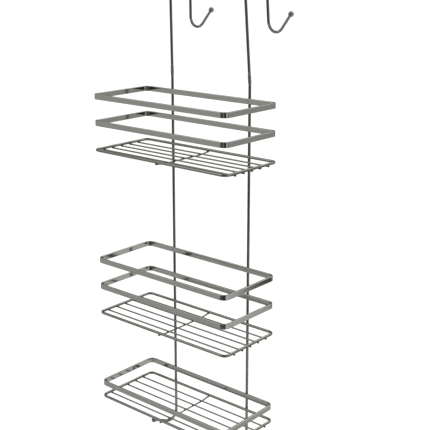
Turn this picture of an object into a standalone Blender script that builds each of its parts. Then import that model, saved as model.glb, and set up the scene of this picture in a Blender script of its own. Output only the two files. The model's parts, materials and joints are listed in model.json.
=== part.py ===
"""Over-door shower caddy: three wire baskets on two uprights, hung by two hook arms.

Lengths are in metres. The width runs along X, the depth along Y with the door at +Y, and the
height along Z. Sizes are worked out from the middle of the bottom shelf, and the root empty
then puts the origin where the caddy hangs: on the door's top edge, midway between the arms.
"""

import math

import bpy
from mathutils import Matrix, Vector

# Baskets
BASKET_WIDTH = 0.260
BASKET_DEPTH = 0.116
RAIL_HEIGHT = 0.008
RAIL_THICKNESS = 0.003
RAIL_CORNER_RADIUS = 0.010
RIM_CORNER_RADIUS = 0.008
RIM_OUTREACH = 0.0013

# Height of each tier's shelf rim above the bottom one, and of its flat rails above that rim
TIERS = {
    "bottom": (0.0, {"rail": 0.0236}),
    "middle": (0.1446, {"lower_rail": 0.0446, "upper_rail": 0.0877}),
    "top": (0.4071, {"lower_rail": 0.0415, "upper_rail": 0.0816}),
}

# Wires and rods
ROD_RADIUS = 0.0021
SHELF_WIRE_RADIUS = 0.0012
SHELF_WIRES = 5
SHELF_WIRE_SPACING = 0.0184
CLEARANCE = 0.0003
ROD_SPACING = 0.1524

# Screwed joint between an upright and its hook arm
JOINT_HEIGHT = 0.5135
SLEEVE_LENGTH = 0.014
SLEEVE_RADIUS = 0.0026
STUD_RADIUS = 0.0015
STEP_LENGTH = 0.00005
LEAN_FORWARD = math.radians(3.0)
LEAN_INWARD = math.radians(1.9)
SWIVEL_OUTWARD = math.radians(3.0)

# Hook arm, measured along and across its own straight leg
ARM_RISE = 0.1765
ARM_GAP = 0.0468
ARM_BEND_RADIUS = 0.012
TOWEL_HOOK_HEIGHT = 0.0664
TOWEL_HOOK_RADIUS = 0.0185
TOWEL_HOOK_TIP = 0.0283
TOWEL_HOOK_ANGLE = math.radians(40)

# Hook at the foot of each upright
FOOT_HOOK_DROP = 0.068
FOOT_HOOK_RADIUS = 0.0155
FOOT_HOOK_TIP = 0.035
FOOT_HOOK_ANGLE = math.radians(25)

# Ball tips
BALL_RADIUS = 0.0043
SOCKET_DEPTH = 0.0039

# Smoothness
CORNER_STEPS = 8
BEND_STEPS = 8
TURN_STEPS = 24
BALL_ARC_STEPS = 9

ROD_Y = BASKET_DEPTH / 2 + CLEARANCE + ROD_RADIUS


def clear_scene():
    for obj in list(bpy.data.objects):
        bpy.data.objects.remove(obj, do_unlink=True)


def new_collection(name):
    collection = bpy.data.collections.new(name)
    bpy.context.scene.collection.children.link(collection)
    return collection


def chrome(name, shade, roughness):
    material = bpy.data.materials.new(name)
    material.use_nodes = True
    shader = material.node_tree.nodes["Principled BSDF"]
    shader.inputs["Base Color"].default_value = (shade, shade, shade * 0.98, 1.0)
    shader.inputs["Metallic"].default_value = 1.0
    shader.inputs["Roughness"].default_value = roughness
    material.diffuse_color = (shade, shade, shade * 0.98, 1.0)
    return material


def place(obj, material, parent, location=(0, 0, 0)):
    obj.data.materials.append(material)
    obj.parent = parent
    obj.location = location
    caddy.objects.link(obj)
    return obj


def new_empty(name, matrix, parent=None):
    empty = bpy.data.objects.new(name, None)
    empty.empty_display_size = 0.02
    empty.parent = parent
    empty.matrix_local = matrix
    caddy.objects.link(empty)
    return empty


def poly_spline(curve, points, cyclic=False, radii=None):
    spline = curve.splines.new("POLY")
    spline.points.add(len(points) - 1)
    for i, point in enumerate(points):
        spline.points[i].co = (*point, 1.0)
        spline.points[i].radius = radii[i] if radii else 1.0
    spline.use_cyclic_u = cyclic
    spline.use_smooth = True
    return spline


def wire(name, points, radius, cyclic=False, radii=None):
    """A round wire along the points, with closed ends."""
    curve = bpy.data.curves.new(name, "CURVE")
    curve.dimensions = "3D"
    curve.bevel_depth = radius
    curve.bevel_resolution = 2
    curve.use_fill_caps = True
    poly_spline(curve, points, cyclic, radii)
    return bpy.data.objects.new(name, curve)


def arc(centre, radius, start, end, steps):
    """Points of an arc in a plane, from the angle start to the angle end, both included."""
    angles = [start + (end - start) * i / steps for i in range(steps + 1)]
    return [(centre[0] + radius * math.cos(a), centre[1] + radius * math.sin(a)) for a in angles]


def rounded_rectangle(width, depth, radius):
    """Outline in plan, centred on the origin, as one closed loop."""
    points = []
    for quarter, (sx, sy) in enumerate(((1, 1), (-1, 1), (-1, -1), (1, -1))):
        centre = (sx * (width / 2 - radius), sy * (depth / 2 - radius))
        start = quarter * math.pi / 2
        points += arc(centre, radius, start, start + math.pi / 2, CORNER_STEPS)
    return [(x, y, 0.0) for x, y in points]


def flat_rail(name):
    """A flat bar on edge, bent into a rectangle and welded into a closed ring."""
    curve = bpy.data.curves.new(name, "CURVE")
    curve.dimensions = "2D"
    curve.fill_mode = "BOTH"
    curve.extrude = RAIL_HEIGHT / 2
    outer = rounded_rectangle(BASKET_WIDTH, BASKET_DEPTH, RAIL_CORNER_RADIUS)
    inner = rounded_rectangle(
        BASKET_WIDTH - 2 * RAIL_THICKNESS,
        BASKET_DEPTH - 2 * RAIL_THICKNESS,
        RAIL_CORNER_RADIUS - RAIL_THICKNESS,
    )
    poly_spline(curve, outer, cyclic=True)
    poly_spline(curve, inner, cyclic=True)
    return bpy.data.objects.new(name, curve)


def turned(name, profile, close_profile=False):
    """A turned piece: a profile in the XZ plane, spun round Z. The outer side runs downwards."""
    mesh = bpy.data.meshes.new(name)
    edges = [(i, i + 1) for i in range(len(profile) - 1)]
    if close_profile:
        edges.append((len(profile) - 1, 0))
    mesh.from_pydata([(x, 0.0, z) for x, z in profile], edges, [])
    obj = bpy.data.objects.new(name, mesh)
    screw = obj.modifiers.new("Turn", "SCREW")
    screw.steps = TURN_STEPS
    screw.render_steps = TURN_STEPS
    screw.use_merge_vertices = True
    screw.merge_threshold = 0.00001
    screw.use_smooth_shade = True
    return obj


def ball_tip(name):
    """A ball with a blind socket from below, which the end of the rod fills."""
    bore = ROD_RADIUS + CLEARANCE
    mouth = math.acos(bore / BALL_RADIUS)
    outside = arc((0, 0), BALL_RADIUS, math.pi / 2, -mouth, BALL_ARC_STEPS)
    outside[0] = (0.0, BALL_RADIUS)
    socket_top = SOCKET_DEPTH - BALL_RADIUS
    profile = [*outside, (bore, socket_top), (0.0, socket_top)]
    return turned(name, profile)


def joint_sleeve(name):
    """A short threaded sleeve that takes the stud of the upright and the stud of the arm."""
    chamfer = 0.0003
    bore = STUD_RADIUS + CLEARANCE
    profile = [
        (bore, SLEEVE_LENGTH),
        (SLEEVE_RADIUS - chamfer, SLEEVE_LENGTH),
        (SLEEVE_RADIUS, SLEEVE_LENGTH - chamfer),
        (SLEEVE_RADIUS, chamfer),
        (SLEEVE_RADIUS - chamfer, 0.0),
        (bore, 0.0),
    ]
    return turned(name, profile, close_profile=True)


def arm_frame(side):
    """Foot of a hook arm's sleeve: Z along the arm's leg, Y from its leg towards the door."""
    swivel = Matrix.Rotation(-side * SWIVEL_OUTWARD, 4, "Z")
    lean = Matrix.Rotation(-side * LEAN_INWARD, 4, "Y") @ Matrix.Rotation(LEAN_FORWARD, 4, "X")
    foot = Vector((side * ROD_SPACING / 2, ROD_Y, JOINT_HEIGHT))
    return Matrix.Translation(foot) @ lean @ swivel


def tip_frame(position, angle, towards):
    """Where a ball sits: its Z runs along the last straight stretch of a hook."""
    turn = Matrix.Rotation(-towards * (math.pi / 2 - angle), 4, "X")
    return Matrix.Translation(position) @ turn


def hook_end(centre, radius, towards, angle, tip):
    """The round bottom of a hook and its straight tip, in the YZ plane, and the ball's place.

    The wire comes down on one side of the centre and leaves towards -Y (-1) or +Y (+1).
    """
    bend = arc(centre, radius, math.pi, 1.5 * math.pi + angle, 2 * BEND_STEPS)
    end_y = bend[-1][0] + tip * math.cos(angle)
    end_z = bend[-1][1] + tip * math.sin(angle)
    socket = SOCKET_DEPTH - BALL_RADIUS - CLEARANCE
    wire_end = (end_y + socket * math.cos(angle), end_z + socket * math.sin(angle))
    flip = centre[0] if towards < 0 else 0.0
    points = [(2 * flip - y if flip else y, z) for y, z in [*bend, wire_end]]
    ball = (2 * flip - end_y if flip else end_y, end_z)
    return points, ball


def upright(name, side, root):
    """A rod from its screwed joint down behind the rails, ending in a hook that points forward."""
    x = side * ROD_SPACING / 2
    frame = arm_frame(side)
    stud_top = SLEEVE_LENGTH / 2 - CLEARANCE
    top = [frame @ Vector((0, 0, z)) for z in (stud_top, -CLEARANCE, -CLEARANCE - STEP_LENGTH)]
    centre = (ROD_Y - FOOT_HOOK_RADIUS, FOOT_HOOK_RADIUS - FOOT_HOOK_DROP)
    bend, ball = hook_end(centre, FOOT_HOOK_RADIUS, -1, FOOT_HOOK_ANGLE, FOOT_HOOK_TIP)
    points = top + [Vector((x, y, z)) for y, z in bend]
    radii = [STUD_RADIUS / ROD_RADIUS] * 2 + [1.0] * (len(points) - 2)
    place(wire(name, points, ROD_RADIUS, radii=radii), rod_finish, root)
    tip = new_empty(name + "_tip_place", tip_frame(Vector((x, *ball)), FOOT_HOOK_ANGLE, -1), root)
    place(ball_tip(name + "_ball_tip"), tip_finish, tip)


def hook_arm(name, side, root):
    """A screwed-in rod that goes over the door and ends behind it in a hook for towels."""
    pivot = new_empty(name + "_pivot", arm_frame(side), root)
    stud_end = SLEEVE_LENGTH / 2 + CLEARANCE
    shoulder = SLEEVE_LENGTH + CLEARANCE
    leg = [(0.0, stud_end), (0.0, shoulder), (0.0, shoulder + STEP_LENGTH)]
    over = arc((ARM_BEND_RADIUS, ARM_RISE - ARM_BEND_RADIUS), ARM_BEND_RADIUS,
               math.pi, math.pi / 2, BEND_STEPS)
    down = arc((ARM_GAP - ARM_BEND_RADIUS, ARM_RISE - ARM_BEND_RADIUS), ARM_BEND_RADIUS,
               math.pi / 2, 0.0, BEND_STEPS)
    centre = (ARM_GAP + TOWEL_HOOK_RADIUS, TOWEL_HOOK_HEIGHT + TOWEL_HOOK_RADIUS)
    hook, ball = hook_end(centre, TOWEL_HOOK_RADIUS, 1, TOWEL_HOOK_ANGLE, TOWEL_HOOK_TIP)
    points = [Vector((0, y, z)) for y, z in leg + over + down + hook]
    radii = [STUD_RADIUS / ROD_RADIUS] * 2 + [1.0] * (len(points) - 2)
    place(wire(name, points, ROD_RADIUS, radii=radii), rod_finish, pivot)
    tip = new_empty(name + "_tip_place", tip_frame(Vector((0, *ball)), TOWEL_HOOK_ANGLE, 1), pivot)
    place(ball_tip(name + "_ball_tip"), tip_finish, tip)


def basket(tier, shelf_height, rails, root):
    """Flat rails above a shelf: a round rim, long wires welded under it and one cross wire."""
    for rail, rise in rails.items():
        place(flat_rail(f"{tier}_{rail}"), rail_finish, root, (0, 0, shelf_height + rise))
    rim_width = BASKET_WIDTH + 2 * RIM_OUTREACH - 2 * ROD_RADIUS
    rim_depth = BASKET_DEPTH - 2 * ROD_RADIUS
    outline = rounded_rectangle(rim_width, rim_depth, RIM_CORNER_RADIUS)
    rim = wire(f"{tier}_shelf_rim", outline, ROD_RADIUS, cyclic=True)
    place(rim, rod_finish, root, (0, 0, shelf_height))
    long_wire_z = shelf_height - ROD_RADIUS - SHELF_WIRE_RADIUS - CLEARANCE
    half = rim_width / 2 + ROD_RADIUS
    for i in range(SHELF_WIRES):
        y = SHELF_WIRE_SPACING * (i - (SHELF_WIRES - 1) / 2)
        long_wire = wire(f"{tier}_shelf_wire_{i + 1}", [(-half, 0, 0), (half, 0, 0)],
                         SHELF_WIRE_RADIUS)
        place(long_wire, wire_finish, root, (0, y, long_wire_z))
    cross_z = long_wire_z - 2 * SHELF_WIRE_RADIUS - CLEARANCE
    half = rim_depth / 2 + ROD_RADIUS
    cross_wire = wire(f"{tier}_cross_wire", [(0, -half, 0), (0, half, 0)], SHELF_WIRE_RADIUS)
    place(cross_wire, wire_finish, root, (0, 0, cross_z))


clear_scene()
caddy = new_collection("shower_caddy")
rail_finish = chrome("flat_bar_chrome", 0.62, 0.16)
rod_finish = chrome("rod_chrome", 0.55, 0.14)
wire_finish = chrome("shelf_wire_chrome", 0.50, 0.18)
tip_finish = chrome("ball_tip_chrome", 0.60, 0.10)
sleeve_finish = chrome("joint_sleeve_chrome", 0.66, 0.20)

saddle = arm_frame(1) @ Vector((0, ARM_GAP / 2, ARM_RISE - ROD_RADIUS))
hang_point = Matrix.Translation((0, -saddle.y, -saddle.z))
caddy_root = new_empty("caddy_root", hang_point)

for tier_name, (tier_height, tier_rails) in TIERS.items():
    basket(tier_name, tier_height, tier_rails, caddy_root)
for side_name, side_sign in (("left", -1), ("right", 1)):
    upright(side_name + "_upright", side_sign, caddy_root)
    joint = new_empty(side_name + "_joint", arm_frame(side_sign), caddy_root)
    place(joint_sleeve(side_name + "_joint_sleeve"), sleeve_finish, joint)
    hook_arm(side_name + "_hook_arm", side_sign, caddy_root)
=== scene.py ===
# %% [markdown]
# # A chrome caddy that hangs over a door
#
# The caddy is three wire baskets welded to two rods. Each rod ends in a screwed joint that carries a hook
# arm, and the arms go over the door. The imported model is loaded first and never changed. Every
# visible piece below is then made again in more detail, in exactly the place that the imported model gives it.

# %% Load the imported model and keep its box
import json
import math

import bmesh
import bpy
from mathutils import Matrix, Vector


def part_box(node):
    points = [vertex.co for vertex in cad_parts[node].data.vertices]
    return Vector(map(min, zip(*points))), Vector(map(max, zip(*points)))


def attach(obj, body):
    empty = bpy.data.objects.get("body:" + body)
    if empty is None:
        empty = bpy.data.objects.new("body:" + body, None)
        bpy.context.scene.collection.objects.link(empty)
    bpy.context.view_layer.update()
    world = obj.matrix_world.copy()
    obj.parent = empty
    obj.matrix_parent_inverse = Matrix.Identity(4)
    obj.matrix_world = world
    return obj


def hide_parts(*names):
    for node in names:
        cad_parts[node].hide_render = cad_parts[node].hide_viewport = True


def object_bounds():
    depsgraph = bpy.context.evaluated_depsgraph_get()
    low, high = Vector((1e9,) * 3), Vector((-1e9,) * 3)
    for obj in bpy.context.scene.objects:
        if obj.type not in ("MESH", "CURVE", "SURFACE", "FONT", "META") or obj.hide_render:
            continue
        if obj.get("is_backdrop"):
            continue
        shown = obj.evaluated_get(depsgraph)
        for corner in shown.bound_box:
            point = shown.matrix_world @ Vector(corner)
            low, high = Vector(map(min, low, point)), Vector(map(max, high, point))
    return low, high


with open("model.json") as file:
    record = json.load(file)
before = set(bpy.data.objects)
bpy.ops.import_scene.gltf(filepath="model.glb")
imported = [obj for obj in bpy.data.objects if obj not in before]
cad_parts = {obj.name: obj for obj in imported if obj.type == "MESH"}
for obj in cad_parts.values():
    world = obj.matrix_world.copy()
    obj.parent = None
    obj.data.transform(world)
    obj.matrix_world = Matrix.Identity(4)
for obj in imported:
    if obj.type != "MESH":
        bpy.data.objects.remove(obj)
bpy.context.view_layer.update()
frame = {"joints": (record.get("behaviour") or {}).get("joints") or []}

# %% [markdown]
# ## Sizes
#
# A maker would write down three stock sizes: the thick wire of the rods and rims, the thin wire of the
# shelves and the flat bar of the rails. They could be typed in, but reading them from the boxes of the
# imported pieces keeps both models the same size. Only what a box can't tell is a number here.

# %% Read the stock sizes
TIERS = {
    "top": ("top_upper_rail", "top_lower_rail"),
    "middle": ("middle_upper_rail", "middle_lower_rail"),
    "bottom": ("bottom_rail",),
}
SIDES = {"left": -1, "right": 1}


def size_of(node):
    low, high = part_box(node)
    return high - low


def centre_of(node):
    low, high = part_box(node)
    return (low + high) / 2


ROD_RADIUS = size_of("top_shelf_rim").z / 2
SHELF_WIRE_RADIUS = size_of("top_shelf_wire_1").z / 2
BALL_RADIUS = size_of("left_upright_ball_tip").z / 2
BAR_HEIGHT = size_of("bottom_rail").z
BAR_THICKNESS = 0.003
BAR_CORNER_RADIUS = 0.010
RIM_CORNER_RADIUS = 0.008
MILLIMETRE = 0.001
print("rod", round(2000 * ROD_RADIUS, 2), "shelf wire", round(2000 * SHELF_WIRE_RADIUS, 2),
      "bar", round(1000 * BAR_HEIGHT, 2), "ball", round(2000 * BALL_RADIUS, 2), "mm")

# %% [markdown]
# ## Camera
#
# The camera stands to the right of the caddy, level with its arms, and looks down on the baskets. A wide
# lens close by would make the uprights lean together, so a long lens is used from further away. The small
# vertical shift slides the view down a little without tilting the camera any more, which would make the
# uprights lean again.

# %% Place the camera
LENS = 76.94
SENSOR = 36.0
LENS_SHIFT = -0.0488
CAMERA_FROM_SHELF = Vector((0.8956, -0.9707, 0.6982))
CAMERA_TURN = math.radians(40.65)
CAMERA_DIP = math.radians(14.82)

bottom_shelf = centre_of("bottom_shelf_rim")
camera_data = bpy.data.cameras.new("camera")
camera_data.lens = LENS
camera_data.sensor_width = SENSOR
camera_data.shift_y = LENS_SHIFT
camera = bpy.data.objects.new("camera", camera_data)
camera.location = bottom_shelf + CAMERA_FROM_SHELF
camera.rotation_euler = (math.pi / 2 - CAMERA_DIP, 0.0, CAMERA_TURN)
bpy.context.scene.collection.objects.link(camera)
bpy.context.scene.camera = camera
print("camera at", [round(c, 3) for c in camera.location], "lens", LENS, "mm")

# %% [markdown]
# ## Small helpers for node trees
#
# Node trees are long to write, because each node is made, set and linked in its own lines. One helper does
# all three: a value that is a socket becomes a link, and any other value is set on the socket.

# %% A helper that makes, sets and links a node
def put(tree, kind, values=None, **settings):
    """Adds a node. Keys of values are socket names or numbers; a socket as a value is linked."""
    node = tree.nodes.new(kind)
    for name, value in settings.items():
        setattr(node, name, value)
    for key, value in (values or {}).items():
        if isinstance(value, bpy.types.NodeSocket):
            tree.links.new(value, node.inputs[key])
        else:
            node.inputs[key].default_value = value
    return node


def maths(tree, operation, *values):
    """A Math node on one to three numbers or sockets, as the socket of its result."""
    return put(tree, "ShaderNodeMath", dict(enumerate(values)), operation=operation).outputs[0]


def ramp_between(tree, value, start, end, low=0.0, high=1.0):
    """A soft step: low below start, high above end, smooth between them."""
    values = {"Value": value, "From Min": start, "From Max": end, "To Min": low, "To Max": high}
    return put(tree, "ShaderNodeMapRange", values, interpolation_type="SMOOTHSTEP").outputs[0]


# %% [markdown]
# A group needs its inputs and outputs declared before anything is linked to them. Named inputs let one
# group serve many pieces, each with its own sizes.

# %% A helper that starts a node group with named inputs and outputs
def new_group(name, kind, inputs, outputs):
    """Returns the group, its input node and its output node. Inputs are (name, type, default)."""
    tree = bpy.data.node_groups.new(name, kind)
    for label, socket_type, default in inputs:
        socket = tree.interface.new_socket(label, in_out="INPUT", socket_type="NodeSocket" + socket_type)
        if default is not None:
            socket.default_value = default
    for label, socket_type in outputs:
        tree.interface.new_socket(label, in_out="OUTPUT", socket_type="NodeSocket" + socket_type)
    return tree, tree.nodes.new("NodeGroupInput"), tree.nodes.new("NodeGroupOutput")


# %% [markdown]
# ## The studio
#
# Chrome has almost no colour of its own: it shows the room. A real studio puts grey cards round chrome and
# leaves a dark gap where the camera stands, and that gap is the black line in every bright edge. The cards
# could be planes, but then they would stand in the way of the other views. So they are painted as soft
# panels into the world and only reflections see them, while the camera and the floor see plain white.

# %% Cards of the studio: bearing, half width, elevation, half height, softness, brightness
CAMERA_BEARING = math.degrees(CAMERA_TURN) - 90
ROOM_GREY = 0.44
CARDS = (
    ("dark behind the camera", CAMERA_BEARING - 20, 46, 10, 33.6, 2, 0.030),
    ("faint grey at the front", CAMERA_BEARING - 41, 4, -10, 40, 7, 0.14),
    ("strip light", CAMERA_BEARING - 13, 4, 10, 22, 4, 0.30),
    ("edge strip light", CAMERA_BEARING + 38, 4, 10, 22, 4, 1.00),
    ("dark gap beside it", CAMERA_BEARING + 54, 6, 10, 22, 4, 0.05),
    ("dull card on the right", CAMERA_BEARING + 98, 15, -6, 6, 3, 0.38),
    ("bright card low on the right", CAMERA_BEARING + 94, 11, -21.5, 5.5, 1.5, 0.60),
    ("dark stand on the right", CAMERA_BEARING + 104.1, 3.3, -19.6, 1.6, 0.3, 0.0),
    ("grey wall behind", CAMERA_BEARING + 180, 50, -10, 26, 12, 0.12),
    ("dark ceiling edge", CAMERA_BEARING + 180, 70, 20, 10, 8, 0.18),
    ("pale cloth beside the camera", CAMERA_BEARING + 54, 22, -31, 12, 4, 0.72),
    ("pale floor in front", CAMERA_BEARING - 10, 54, -34, 8.5, 1.5, 0.66),
    ("left overhead softbox", CAMERA_BEARING - 120, 40, 44, 16, 10, 0.62),
    ("right overhead softbox", CAMERA_BEARING + 140, 32, 42, 8, 6, 1.70),
)
print("studio cards:", len(CARDS))

# %% [markdown]
# A card is a window in the directions that a reflection can come from. Its sides are measured as an angle
# on the compass and its top and bottom as a height above the horizon, both with soft edges.

# %% The mask of one card
def card_mask(tree, direction, bearing, half_width, elevation, half_height, softness):
    """1 inside a window of directions, 0 outside it. The angles are in degrees."""
    parts = put(tree, "ShaderNodeSeparateXYZ", {0: direction})
    across = math.radians(bearing)
    rise_squared = maths(tree, "POWER", parts.outputs[2], 2.0)
    flat = maths(tree, "POWER", maths(tree, "SUBTRACT", 1.0, rise_squared), 0.5)
    toward = maths(tree, "ADD", maths(tree, "MULTIPLY", parts.outputs[0], math.cos(across)),
                   maths(tree, "MULTIPLY", parts.outputs[1], math.sin(across)))
    aligned = maths(tree, "DIVIDE", toward, maths(tree, "MAXIMUM", flat, 0.001))
    outer = math.cos(math.radians(half_width + softness))
    inner = math.cos(math.radians(half_width))
    beside = ramp_between(tree, aligned, outer, inner)
    height = maths(tree, "ARCSINE", parts.outputs[2])
    off_centre = maths(tree, "ABSOLUTE", maths(tree, "SUBTRACT", height, math.radians(elevation)))
    above = ramp_between(tree, off_centre, math.radians(half_height),
                         math.radians(half_height + softness), 1.0, 0.0)
    return maths(tree, "MULTIPLY", beside, above)


# %% [markdown]
# The world's shader starts with the grey of the room and lays each card over it in turn. The Light Path
# node then lets reflections alone see the cards, and everything else sees white.

# %% Build the world
world = bpy.data.worlds.new("studio")
world.use_nodes = True
world.cycles.sampling_method = "NONE"
bpy.context.scene.world = world
tree = world.node_tree
tree.nodes.clear()
direction = put(tree, "ShaderNodeTexCoord").outputs["Generated"]
room = ROOM_GREY
for card_name, *angles, softness, level in CARDS:
    mask = card_mask(tree, direction, *angles, softness)
    blend = put(tree, "ShaderNodeMix", {0: mask, 2: room, 3: level}, label=card_name)
    room = blend.outputs[0]
reflected = put(tree, "ShaderNodeLightPath").outputs["Is Glossy Ray"]
seen = put(tree, "ShaderNodeMix", {0: reflected, 2: 1.0, 3: room})
background = put(tree, "ShaderNodeBackground", {"Color": seen.outputs[0]})
put(tree, "ShaderNodeOutputWorld", {"Surface": background.outputs[0]})
print("world nodes:", len(tree.nodes))

# %% [markdown]
# The floor lies where a real one would, two metres under the top edge of the door, so the caddy throws no
# shadow that can be seen. It is plain and pale. Standard colour handling keeps white paper white.

# %% Lay the floor
FLOOR_DROP = 2.0
FLOOR_REACH = 60.0

bpy.context.scene.view_settings.view_transform = "Standard"
floor_mesh = bpy.data.meshes.new("floor")
floor_shape = bmesh.new()
bmesh.ops.create_grid(floor_shape, x_segments=1, y_segments=1, size=FLOOR_REACH)
floor_shape.to_mesh(floor_mesh)
floor_shape.free()
floor = bpy.data.objects.new("floor", floor_mesh)
floor.location.z = -FLOOR_DROP
floor.visible_glossy = False
bpy.context.scene.collection.objects.link(floor)
paper = bpy.data.materials.new("pale_paper")
paper.use_nodes = True
paper.node_tree.nodes["Principled BSDF"].inputs["Base Color"].default_value = (0.96, 0.96, 0.955, 1.0)
paper.node_tree.nodes["Principled BSDF"].inputs["Roughness"].default_value = 1.0
paper.node_tree.nodes["Principled BSDF"].inputs["Specular IOR Level"].default_value = 0.0
floor_mesh.materials.append(paper)
floor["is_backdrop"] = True
print("floor at", floor.location.z, "m")

# %% [markdown]
# Most of the light is the white room. A very wide sun and two weak softboxes, left and right, only shape
# the dull parts: the weld beads and the smudges. Strong lights would put hard white dashes on every wire.

# %% Hang the soft lights: place from the top rail, width and power
LIGHTS = {
    "key_softbox": ((-1.1, -1.6, 1.2), 1.2, 5.0),
    "fill_softbox": ((1.9, 0.5, 0.7), 0.9, 3.0),
}
SUN_STRENGTH = 0.5
SUN_WIDTH = math.radians(60)

sun_data = bpy.data.lights.new("soft_daylight", "SUN")
sun_data.energy = SUN_STRENGTH
sun_data.angle = SUN_WIDTH
sun = bpy.data.objects.new("soft_daylight", sun_data)
sun.visible_glossy = False
bpy.context.scene.collection.objects.link(sun)
for light_name, (place, width, power) in LIGHTS.items():
    light_data = bpy.data.lights.new(light_name, "AREA")
    light_data.shape = "SQUARE"
    light_data.size = width
    light_data.energy = power
    light = bpy.data.objects.new(light_name, light_data)
    light.location = Vector(place) + centre_of("top_lower_rail")
    aim = centre_of("middle_upper_rail") - light.location
    light.rotation_euler = aim.to_track_quat("-Z", "Y").to_euler()
    light.visible_camera = False
    bpy.context.scene.collection.objects.link(light)
print("lights:", [light_name for light_name in LIGHTS] + ["soft_daylight"])

# %% [markdown]
# ## Chrome
#
# Chrome plate is a mirror with a faint warm grey. What makes it real is what lies on it: drawing lines
# along the wire, a slight ripple of the plating, dried drops, smudges from hands, and a dull tint round
# each weld. Each of these is a small node group, built once, that puts out a mask or a height.

# %% Node group: dried water drops, rings where the rim of a drop dried last
drops_group, given, result = new_group(
    "dried_drops", "ShaderNodeTree",
    [("Drop Size", "Float", 0.004), ("Coverage", "Float", 0.3)], [("Mask", "Float")])
place = put(drops_group, "ShaderNodeTexCoord").outputs["Object"]
scale = maths(drops_group, "DIVIDE", 1.0, given.outputs["Drop Size"])
cells = put(drops_group, "ShaderNodeTexVoronoi", {"Vector": place, "Scale": scale})
ring = maths(drops_group, "MULTIPLY", ramp_between(drops_group, cells.outputs["Distance"], 0.20, 0.30),
             ramp_between(drops_group, cells.outputs["Distance"], 0.30, 0.36, 1.0, 0.0))
chance = put(drops_group, "ShaderNodeSeparateColor", {0: cells.outputs["Color"]}).outputs[0]
chosen = maths(drops_group, "LESS_THAN", chance, given.outputs["Coverage"])
drops_group.links.new(maths(drops_group, "MULTIPLY", ring, chosen), result.inputs["Mask"])
print("node group", drops_group.name, "has", len(drops_group.nodes), "nodes")

# %% [markdown]
# Hands leave wide soft patches. Noise with a threshold gives them: below it the chrome is clean.

# %% Node group: smudges, wide soft patches that dull the mirror
smudge_group, given, result = new_group(
    "hand_smudges", "ShaderNodeTree",
    [("Patch Size", "Float", 0.02), ("Threshold", "Float", 0.5)], [("Mask", "Float")])
place = put(smudge_group, "ShaderNodeTexCoord").outputs["Object"]
scale = maths(smudge_group, "DIVIDE", 1.0, given.outputs["Patch Size"])
cloud = put(smudge_group, "ShaderNodeTexNoise", {"Vector": place, "Scale": scale, "Detail": 4.0})
top = maths(smudge_group, "ADD", given.outputs["Threshold"], 0.2)
patch = ramp_between(smudge_group, cloud.outputs[0], given.outputs["Threshold"], top)
smudge_group.links.new(patch, result.inputs["Mask"])
print("node group", smudge_group.name, "has", len(smudge_group.nodes), "nodes")

# %% [markdown]
# Wire and bar are pulled through a die, which leaves fine lines along them. Noise that is stretched along
# the piece makes such lines, but it has to know which way the piece runs. The sweeps further down store
# that on every point, as along and section.

# %% Node group: drawing lines, fine scratches that run along a wire or a bar
drawn_group, given, result = new_group(
    "drawn_lines", "ShaderNodeTree",
    [("Line Count", "Float", 30.0), ("Line Length", "Float", 0.01)], [("Height", "Float")])
section = put(drawn_group, "ShaderNodeAttribute", attribute_name="section").outputs["Vector"]
along = put(drawn_group, "ShaderNodeAttribute", attribute_name="along").outputs["Fac"]
wide = put(drawn_group, "ShaderNodeVectorMath", {0: section, "Scale": given.outputs["Line Count"]},
           operation="SCALE").outputs[0]
parts = put(drawn_group, "ShaderNodeSeparateXYZ", {0: wide})
run = maths(drawn_group, "DIVIDE", along, given.outputs["Line Length"])
stretched = put(drawn_group, "ShaderNodeCombineXYZ", {0: parts.outputs[0], 1: parts.outputs[1], 2: run})
lines = put(drawn_group, "ShaderNodeTexNoise", {"Vector": stretched.outputs[0], "Scale": 1.0, "Detail": 3.0})
drawn_group.links.new(lines.outputs[0], result.inputs["Height"])
print("node group", drawn_group.name, "has", len(drawn_group.nodes), "nodes")

# %% [markdown]
# Heat dulls the plate round a weld. The sweeps store how near each point is to a weld, and noise breaks up
# the outline of the tint.

# %% Node group: the dull, slightly dark tint that a weld leaves round it
heat_group, given, result = new_group(
    "weld_tint", "ShaderNodeTree", [("Break Up", "Float", 0.35)], [("Mask", "Float")])
place = put(heat_group, "ShaderNodeTexCoord").outputs["Object"]
heat = put(heat_group, "ShaderNodeAttribute", attribute_name="weld_heat").outputs["Fac"]
cloud = put(heat_group, "ShaderNodeTexNoise", {"Vector": place, "Scale": 900.0, "Detail": 3.0})
uneven = maths(heat_group, "MULTIPLY", maths(heat_group, "SUBTRACT", cloud.outputs[0], 0.5),
               given.outputs["Break Up"])
mask = put(heat_group, "ShaderNodeMath", {0: maths(heat_group, "MULTIPLY_ADD", uneven, heat, heat)},
           operation="ADD", use_clamp=True)
heat_group.links.new(mask.outputs[0], result.inputs["Mask"])
print("node group", heat_group.name, "has", len(heat_group.nodes), "nodes")

# %% [markdown]
# All the stock is plated in the same bath, so one recipe makes every finish. Only the numbers differ: thin
# wire is rougher than flat bar, because it was drawn further. Colour and roughness change with the marks, and
# the lines and a slow ripple go into a Bump node. The colour is also painted darker on the rounded edges of
# the flat bar, as painted shade, in the same mix as the weld tint.

# %% One recipe for every chrome finish, with its own numbers for each stock
DROP_COVERAGE = 0.15
SMUDGE_THRESHOLD = 0.50
LINE_LENGTH = 0.012
TINT_BREAK_UP = 0.5
# How far the rounded edges of the flat bar are painted darker towards the tinted colour: painted shade.
EDGE_PAINTED_SHADE = 0.20
LIME = (0.75, 0.76, 0.76, 1.0)
LIME_SHOWING = 0.06
SMUDGE_ROUGHNESS = 0.03
LIME_ROUGHNESS = 0.06
WELD_ROUGHNESS = 0.18
RIPPLE_SCALE = 180.0
LINE_SHARE = 0.5
RELIEF_DEPTH = 0.0001


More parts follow.
